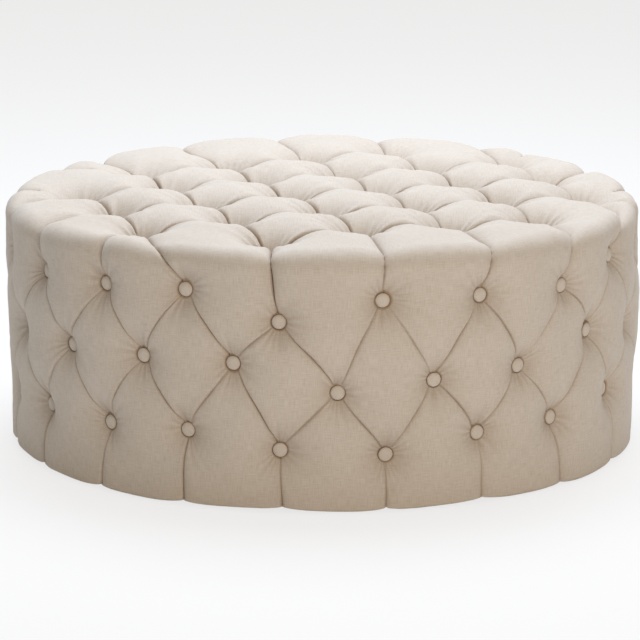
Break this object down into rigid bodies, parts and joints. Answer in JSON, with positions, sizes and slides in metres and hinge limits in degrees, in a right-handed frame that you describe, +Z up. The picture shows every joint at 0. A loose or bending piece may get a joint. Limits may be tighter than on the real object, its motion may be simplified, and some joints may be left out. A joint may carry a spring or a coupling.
{
  "type": "ottoman coffee table",
  "caption": "Round, low upholstered ottoman used as a coffee table, deep button tufting over the top and the side, on a drum frame with hidden glides.",
  "frame": {"origin": "on the floor under the middle of the ottoman, in the plane of the glides' feet", "axes": "+Z up through the middle; the pictured front faces -Y and +X is its right"},
  "size_m": [1.0148, 1.0148, 0.406],
  "materials": {
    "linen": "matte",
    "wadding": "matte",
    "foam": "matte",
    "plywood": "matte",
    "pine": "matte",
    "button_metal": "satin",
    "twine": "matte",
    "steel": "satin",
    "dust_cloth": "matte",
    "glide_plastic": "matte"
  },
  "bodies": {
    "root": {"back_brace": "pine", "base_ring": "plywood", "board_screws": "steel", "dust_cover": "dust_cloth", "dust_cover_staples": "steel", "front_brace": "pine", "glide_1": "glide_plastic", "glide_2": "glide_plastic", "glide_3": "glide_plastic", "glide_4": "glide_plastic", "glide_5": "glide_plastic", "glide_6": "glide_plastic", "glide_pins": "steel", "hem_staples": "steel", "long_brace": "pine", "panel_nails": "steel", "post_1": "pine", "post_10": "pine", "post_2": "pine", "post_3": "pine", "post_4": "pine", "post_5": "pine", "post_6": "pine", "post_7": "pine", "post_8": "pine", "post_9": "pine", "ring_screws": "steel", "side_button_backs": "button_metal", "side_button_caps": "linen", "side_cover": "linen", "side_foam": "foam", "side_panel_left": "plywood", "side_panel_right": "plywood", "side_twine_staples": "steel", "side_twines": "twine", "side_wadding": "wadding", "top_board": "plywood", "top_button_backs": "button_metal", "top_button_caps": "linen", "top_cover": "linen", "top_foam": "foam", "top_twine_staples": "steel", "top_twines": "twine", "top_wadding": "wadding"}
  },
  "joints": []
}
